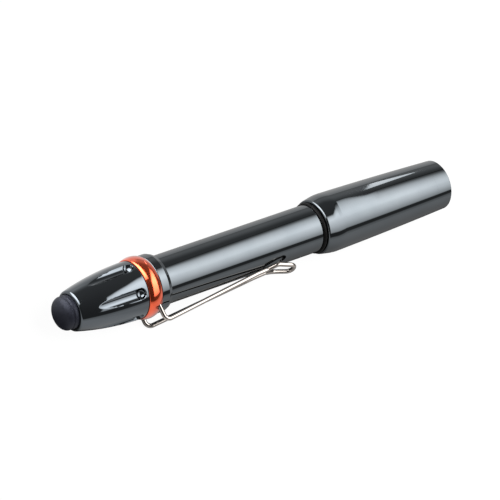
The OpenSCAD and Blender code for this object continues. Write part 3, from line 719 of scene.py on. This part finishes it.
spring = {"wire": 0.2, "wireSides": 14, "turns": 4, "steps": 160}
coilBack, coilFront, coilRadius = spanOf("switch_spring")
coil = bmesh.new()
coilStart = Matrix.Translation((coilBack + spring["wire"], coilRadius - spring["wire"], 0))
bmesh.ops.create_circle(coil, cap_ends=True, radius=spring["wire"], segments=spring["wireSides"],
                        matrix=coilStart)
advance = (coilFront - coilBack - 2 * spring["wire"]) / spring["steps"]
spun(coil, 2 * pi * spring["turns"], spring["steps"], dvec=(advance, 0, 0))
coilPiece = made("switch_coil", coil, "tail_cap", "spring_steel", "switch_spring", sharp=50)
press = next(j for j in frame["record"]["behaviour"]["joints"] if j["name"] == "button_press")
fixedEnd = press["deforming_nodes"][0]["fixed_end_x_m"]
1 - press["range_m"][1] / (fixedEnd - coilBack * mm)
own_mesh(coilPiece)

bowl = {"rear": 2.0, "wall": 0.5, "rows": 40, "steps": 120}
bowlBack, bowlFront, bowlRadius = spanOf("reflector")
squares = evenly(bowl["rear"] ** 2, (bowlRadius - bowl["wall"]) ** 2, bowl["rows"])  # as in any paraboloid
bowlCurve = [(x, sqrt(square)) for x, square in zip(evenly(bowlBack, bowlFront, bowl["rows"]), squares)]
backCurve = [(x, radius + bowl["wall"]) for x, radius in bowlCurve[::-1]]
mirror = turned(bowlCurve + backCurve, steps=bowl["steps"])
made("reflector_bowl", mirror, root, "reflector_mirror", "reflector", sharp=50)

lens = {"edge": 0.12, "steps": 120}
lensBack, lensFront, lensRadius = spanOf("lens")
pane = turned([
    (lensBack, 0.0),
    (lensBack, lensRadius, lens["edge"]),
    (lensFront, lensRadius, lens["edge"]),
    (lensFront, 0.0),
], closed=False, steps=lens["steps"])
made("lens_pane", pane, root, "lens_glass", "lens", sharp=50)

emitter = {"width": 3.45, "thick": 0.7, "edge": 0.08, "edgeSteps": 2, "dome": 1.3, "domeSunk": 0.1,
           "domeRows": 16, "steps": 64}
chipBack = spanOf("led_emitter")[0]
chip = bmesh.new()
bmesh.ops.create_cube(chip, size=1)
bmesh.ops.scale(chip, vec=(emitter["thick"], emitter["width"], emitter["width"]), verts=chip.verts[:])
bmesh.ops.translate(chip, vec=(chipBack + emitter["thick"] / 2, 0, 0), verts=chip.verts[:])
rounded(chip, chip.edges[:], emitter["edge"], emitter["edgeSteps"], "EDGES")
domeFoot = chipBack + emitter["thick"]
clearDome = turned([
    (domeFoot - emitter["domeSunk"], 0.0),
    (domeFoot - emitter["domeSunk"], emitter["dome"]),
    *arc((domeFoot, 0), emitter["dome"], 90, 0, emitter["domeRows"]),
], closed=False, steps=emitter["steps"])
chip.from_mesh(meshOf("emitter_dome", clearDome))
made("emitter", chip, root, "emitter_silicone", "led_emitter", sharp=40)
print("button, lens and lamp made")

dress = {
    "switch_housing": "switch_plastic", "switch_cover": "switch_plastic", "switch_plunger": "plunger_plastic",
    "contact_bridge": "contact_brass", "ring_contact": "contact_brass", "centre_terminal": "contact_brass",
    "switch_retainer": "contact_brass", "tail_spring": "spring_steel", "rear_cell": "cell_case",
    "front_cell": "cell_case", "driver_contact": "contact_brass", "driver_board": "green_board",
    "heat_sink": "contact_brass", "lamp_leads": "lead_sleeve", "led_board": "white_board",
    "centring_ring": "white_plastic",
}
for node, slot in dress.items():
    for place in frame["nodes"][node].material_slots:
        place.material = finishes[slot]
print("inner parts dressed:", len(dress))

floor = {"height": -8.95, "radius": 4.0, "sides": 96, "tone": 0.12, "fibre": 1.03, "glow": 0.95,
         "bounce": 0.45, "shadeFrom": 7, "tailShade": 5, "headShade": 10, "tailEnd": -0.105, "blend": 0.015,
         "tailGain": 1.15, "gainLoss": 0.15}


def floorPaper():  # white to the camera; in reflections it carries a painted shadow beside the pen and painted light towards the tail
    paper = newFinish("floor_paper")
    rays = ("Is Camera Ray", "Is Diffuse Ray", "Is Glossy Ray", "Is Transmission Ray")
    camera, diffuse, glossy, through = paper.add("ShaderNodeLightPath", out=rays)
    x, y = paper.split()[:2]
    away = paper.add("ShaderNodeMath", {"operation": "ABSOLUTE"}, {0: y}) - floor["shadeFrom"] * mm
    ahead = paper.add("ShaderNodeMath", {"operation": "DIVIDE", "use_clamp": True},
                      {0: x - floor["tailEnd"], 1: floor["blend"]})
    width = (floor["tailShade"] + floor["headShade"] * ahead) * mm
    fade = paper.add("ShaderNodeMath", {"operation": "EXPONENT"}, {0: -1 * away / width})
    shaded = paper.add("ShaderNodeMath", {"operation": "SUBTRACT", "use_clamp": True}, {0: 1.0, 1: fade})
    # painted shadow beside the pen, and painted light towards the tail, seen in reflections only
    seen = camera + through + glossy * shaded * (floor["tailGain"] - floor["gainLoss"] * ahead)
    dark, light = grey(floor["tone"]), grey(floor["tone"] * floor["fibre"])
    tone = paper.shade(paper.noise(2, 3), (0.3, dark), (0.7, light))
    matt = paper.add("ShaderNodeBsdfDiffuse", sockets={"Color": tone})
    strength = floor["glow"] * seen + floor["bounce"] * diffuse
    glow = paper.add("ShaderNodeEmission", sockets={"Strength": strength})
    return paper.shown(paper.add("ShaderNodeAddShader", sockets={0: matt, 1: glow}))


disc = bmesh.new()
bmesh.ops.create_circle(disc, cap_ends=True, radius=floor["radius"], segments=floor["sides"])
bmesh.ops.translate(disc, vec=(0, 0, floor["height"] * mm), verts=disc.verts[:])
floorPiece = placed("floor", meshOf("floor", disc))
floorPiece.data.materials.append(floorPaper())


def curvedCard(name, size, finish):  # a sheet bent round the pen's axis, turns in degrees from +Y over +Z
    sheet = bmesh.new()
    first = radians(size["from"])
    y, z = size["radius"] * cos(first), size["radius"] * sin(first)
    sheet.edges.new([sheet.verts.new((x, y, z)) for x in size["reach"]])
    spun(sheet, radians(size["to"] - size["from"]), steps=60)
    card = placed(name, meshOf(name, sheet))
    card.data.materials.append(finish)
    card.visible_camera = False
    card.visible_diffuse = False
    card.visible_shadow = False


# start and length are the stretch of x that the edges lie in
# rise holds pairs of degrees above an edge and share of the light
silk = {"start": -0.1, "length": 0.8, "keenest": 4, "rise": [
    (0, 0), (3, 0.08), (8, 0.2), (14, 0.45), (21, 0.66), (27, 0.76), (33, 0.82), (45, 0.92), (57, 1),
]}


def scrimSilk(name, size):  # lit cloth: levels are (turn, level), edges are (x, turn, keenness)
    cloth = newFinish(name)
    turn = cloth.halfTurns()
    level = cloth.shade(turn, *[(t / 180, grey(v)) for t, v in size["levels"]])
    along = (cloth.split()[0] - silk["start"]) / silk["length"]
    spots = [((x - silk["start"]) / silk["length"], t, k) for x, t, k in size["edges"]]
    edge = cloth.shade(along, *[(at, grey(t / 180)) for at, t, k in spots])
    keen = cloth.shade(along, *[(at, grey(k / silk["keenest"])) for at, t, k in spots])
    full = silk["rise"][-1][0]
    above = (turn - edge) * keen * (silk["keenest"] * 180 / full)
    share = cloth.shade(above, *[(d / full, grey(v)) for d, v in silk["rise"]])
    light = cloth.add("ShaderNodeEmission", sockets={"Color": level, "Strength": size["strength"] * share})
    return cloth.lightWhere(turn > edge, light)


scrim = {"radius": 0.6, "from": 33, "to": 157, "reach": (-0.012, 0.62), "strength": 7.2, "levels": [
    (36, 0.33), (42, 0.38), (48, 0.455), (54, 0.53), (60, 0.63), (66, 0.71), (72, 0.8), (78, 0.86),
    (84, 0.915), (90, 0.97), (97, 1.0), (103, 0.985), (109, 0.945), (114, 0.86), (120, 0.78), (126, 0.71),
    (132, 0.63), (138, 0.545), (144, 0.45), (150, 0.375), (154, 0.31), (157, 0.1),
], "edges": [
    (-0.012, 160, 3), (0.010, 135, 3), (0.023, 103, 3), (0.05, 98.5, 3), (0.069, 95, 3), (0.104, 90, 3),
    (0.14, 85.5, 3), (0.177, 79.5, 3), (0.216, 73.5, 3), (0.24, 71, 2.6), (0.285, 58, 1), (0.32, 54.5, 1),
    (0.36, 51.5, 1), (0.385, 51, 1), (0.4, 52, 3), (0.411, 41, 4), (0.421, 38, 4), (0.432, 46, 4),
    (0.445, 55, 4), (0.457, 49, 1), (0.49, 49, 1), (0.53, 49.5, 0.75), (0.62, 50, 0.7),
]}
curvedCard("scrim", scrim, scrimSilk("scrim_silk", scrim))

rearScrim = {"radius": 0.6, "from": 1, "to": 92, "reach": (-0.9, -0.1), "strength": 10.0,
             "levels": [(1, 0.9), (45, 1.0), (74, 0.8), (92, 0.3)], "edges": [(-0.1, -15, 4), (0.7, -15, 4)]}
curvedCard("rear_scrim", rearScrim, scrimSilk("rear_silk", rearScrim))

strip = {"radius": 0.6, "from": 7, "to": 33, "reach": (0.4425, 0.489), "strength": 5.4, "lower": 7.5,
         "lowerRise": 11, "upper": 32, "upperFall": 9}


def stripGlow():  # a wedge of light that narrows along the pen
    gleam = newFinish("strip_glow")
    turn = 180 * gleam.halfTurns()
    start, end = strip["reach"]
    along = (gleam.split()[0] - start) / (end - start)
    aboveLower = (turn - strip["lower"] - strip["lowerRise"] * along) > 0
    belowUpper = (strip["upper"] - strip["upperFall"] * along - turn) > 0
    light = gleam.add("ShaderNodeEmission", sockets={"Strength": strip["strength"]})
    return gleam.lightWhere(aboveLower * belowUpper, light)


curvedCard("strip", strip, stripGlow())

softLamp = {"power": 3.2, "width": 0.7, "place": (0.2, -0.2, 0.6), "target": (-0.065, 0, 0)}
areaLamp = bpy.data.lights.new("soft_lamp", "AREA")
areaLamp.energy = softLamp["power"]
areaLamp.shape = "DISK"
areaLamp.size = softLamp["width"]
lampPiece = placed("soft_lamp", areaLamp)
lampPiece.location = softLamp["place"]
aim = Vector(softLamp["target"]) - Vector(softLamp["place"])
lampPiece.rotation_euler = aim.to_track_quat("-Z", "Y").to_euler()
lampPiece.visible_glossy = False
lampPiece.visible_transmission = False

room = {"fadeFrom": 0.06, "fadeTo": 0.16, "farFrom": 0.02, "farTo": 0.42, "tailX": 0.38, "tailBlend": 0.1,
        "horizon": 0.85, "horizonFall": 0.27, "farRise": 1.65, "tailFall": 3.4, "ceiling": 0.25,
        "ceilingRise": 0.11, "ceilingAhead": 0.06}
scene.world = bpy.data.worlds.new("studio")
studio = Finish(scene.world, "Generated")
x, y, z = studio.split()
camera, through = studio.add("ShaderNodeLightPath", out=("Is Camera Ray", "Is Transmission Ray"))
far = y > 0  # the far side darkens slowly towards the ceiling, the near side at once
fadeFrom = room["fadeFrom"] + room["farFrom"] * far
fadeTo = room["fadeTo"] + room["farTo"] * far
height = studio.add("ShaderNodeMapRange", {"interpolation_type": "SMOOTHSTEP"},
                    {"Value": z, "From Min": fadeFrom, "From Max": fadeTo})
tailSide = studio.add("ShaderNodeMath", {"operation": "DIVIDE", "use_clamp": True},
                      {0: room["tailX"] - x, 1: room["tailBlend"]})
farLight = room["farRise"] * z + tailSide * (1 - room["tailFall"] * z)
horizon = room["horizon"] - room["horizonFall"] * y + far * farLight
ceiling = room["ceiling"] + room["ceilingRise"] * y + room["ceilingAhead"] * x
walls = horizon * (1 - height) + ceiling * height
direct = camera + through
air = studio.add("ShaderNodeBackground", sockets={"Strength": walls * (1 - direct) + direct})
studio.add("ShaderNodeOutputWorld", sockets={"Surface": air})

shot = {"place": (-566.68, -253.78, 701.45), "right": (0.78584, -0.48672, 0.3815),
        "up": (0.27292, 0.82653, 0.49228), "lens": 230.4, "sensor": 36, "clipEnd": 50}
right = Vector(shot["right"])
up = Vector(shot["up"])
view = Matrix((right, up, right.cross(up))).transposed().to_4x4()
cameraPiece = placed("camera", bpy.data.cameras.new("camera"))
cameraPiece.data.lens = shot["lens"]
cameraPiece.data.sensor_width = shot["sensor"]
cameraPiece.data.clip_end = shot["clipEnd"]
cameraPiece.matrix_world = Matrix.Translation(Vector(shot["place"]) * mm) @ view
scene.camera = cameraPiece
print("studio set")
